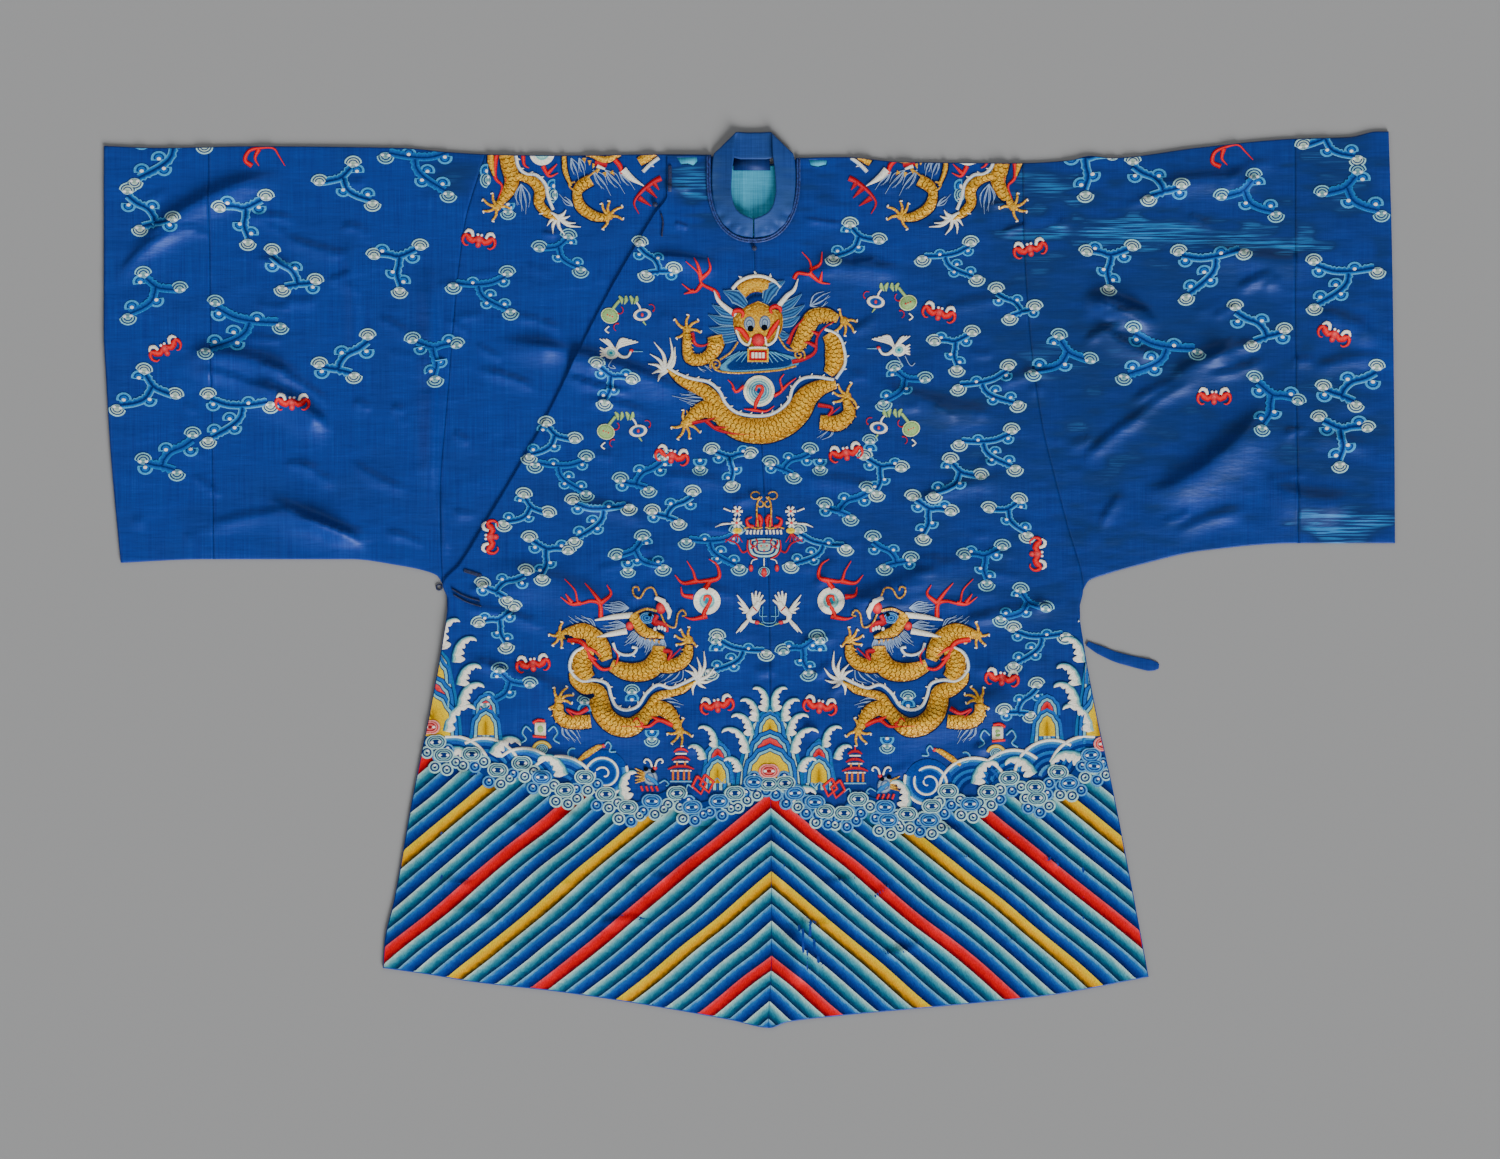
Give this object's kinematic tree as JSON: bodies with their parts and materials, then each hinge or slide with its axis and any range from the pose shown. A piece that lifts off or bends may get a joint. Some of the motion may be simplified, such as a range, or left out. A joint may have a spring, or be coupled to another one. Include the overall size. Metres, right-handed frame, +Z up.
{
  "type": "dragon robe laid flat",
  "caption": "Wide-sleeved blue silk robe laid flat, with standing collar, side-fastened overlap, gold dragons, clouds and diagonal wave stripes at the hem.",
  "frame": {"origin": "middle of the robe's plan, on the surface that it lies on", "axes": "+X towards the wearer's left cuff, +Y towards the collar, +Z up from the surface"},
  "size_m": [1.614, 1.1202, 0.0137],
  "materials": {
    "satin": "blue silk satin, lined",
    "piping": "dark blue satin piping",
    "lining": "turquoise plain-weave silk",
    "closure": "dark cloth strip and knot"
  },
  "bodies": {
    "root": {"body_left": "satin", "body_right": "satin", "front_lap": "satin", "sleeve_left": "satin", "sleeve_right": "satin", "cuff_left": "satin", "cuff_right": "satin", "collar_stand": "satin", "side_ribbon": "satin", "neck_lining": "lining", "tear_lining_left": "lining", "tear_lining_right": "lining", "neck_piping": "piping", "collar_button": "closure", "shoulder_knot": "closure", "shoulder_loop": "closure", "shoulder_strand": "closure", "underarm_strip": "closure", "underarm_cord_a": "closure", "underarm_cord_b": "closure", "underarm_loop": "closure"}
  },
  "joints": []
}
